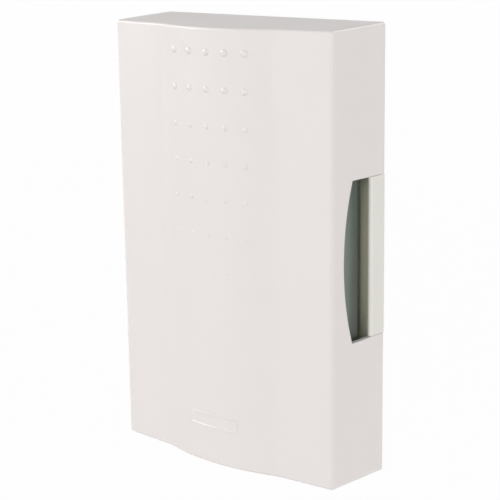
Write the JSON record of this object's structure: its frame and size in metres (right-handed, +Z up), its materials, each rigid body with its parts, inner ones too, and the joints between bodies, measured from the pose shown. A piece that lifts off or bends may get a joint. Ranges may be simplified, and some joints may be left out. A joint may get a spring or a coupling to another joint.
{
  "type": "doorbell chime box",
  "caption": "Wall-mounted two-tone doorbell chime: crowned, dotted cover with side sound openings over steel bars struck by a sprung solenoid plunger.",
  "frame": {"origin": "middle of the base's flat back face, on the wall plane", "axes": "+Z up, the front faces -Y, +X to the right of someone who looks at the front"},
  "size_m": [0.118, 0.0426, 0.19],
  "materials": {
    "cover_white": "white moulded plastic with a soft sheen",
    "base_white": "white moulded plastic, like the cover",
    "bar_steel": "zinc-plated bar steel, slightly green and dull",
    "grommet_rubber": "black soft rubber",
    "spring_steel": "bright spring steel",
    "bobbin_nylon": "natural nylon",
    "copper_winding": "enamelled copper wire, wound level",
    "coil_tape": "yellow insulating tape",
    "tinned_pins": "tinned copper",
    "zinc_steel": "zinc-plated sheet steel",
    "brass_tube": "drawn brass tube",
    "zinc_screws": "zinc-plated screws",
    "plunger_steel": "ground soft iron",
    "striker_nylon": "natural nylon",
    "block_plastic": "dark grey moulded plastic",
    "terminal_brass": "stamped brass",
    "lead_sleeve": "red insulation sleeve"
  },
  "bodies": {
    "base": {"base_plate": "base_white", "chime_bar_right": "bar_steel", "chime_bar_left": "bar_steel", "bar_grommets_right": "grommet_rubber", "bar_grommets_left": "grommet_rubber", "peg_nuts": "spring_steel", "coil_bobbin": "bobbin_nylon", "coil_winding": "copper_winding", "coil_tape": "coil_tape", "coil_tags": "tinned_pins", "coil_yoke": "zinc_steel", "yoke_strap": "zinc_steel", "guide_tube": "brass_tube", "yoke_screws": "zinc_screws", "return_spring": "spring_steel", "terminal_block": "block_plastic", "terminal_plates": "terminal_brass", "terminal_washers": "terminal_brass", "terminal_screws": "zinc_screws", "block_screw": "zinc_screws", "coil_lead_right": "lead_sleeve", "coil_lead_left": "lead_sleeve", "lead_bare_ends": "tinned_pins"},
    "plunger": {"plunger_core": "plunger_steel", "striker_right": "striker_nylon", "striker_left": "striker_nylon", "spring_clip": "spring_steel"},
    "cover": {"front_cover": "cover_white"}
  },
  "joints": [
    {"name": "plunger_slide", "type": "slide", "parent": "base", "child": "plunger", "axis": [1, 0, 0], "range_m": [-0.0022, 0.0062], "stiffness_N_per_m": 30, "deforming": ["return_spring"]},
    {"name": "cover_pull", "type": "slide", "parent": "base", "child": "cover", "axis": [0, -1, 0], "range_m": [0, 0.06]}
  ]
}
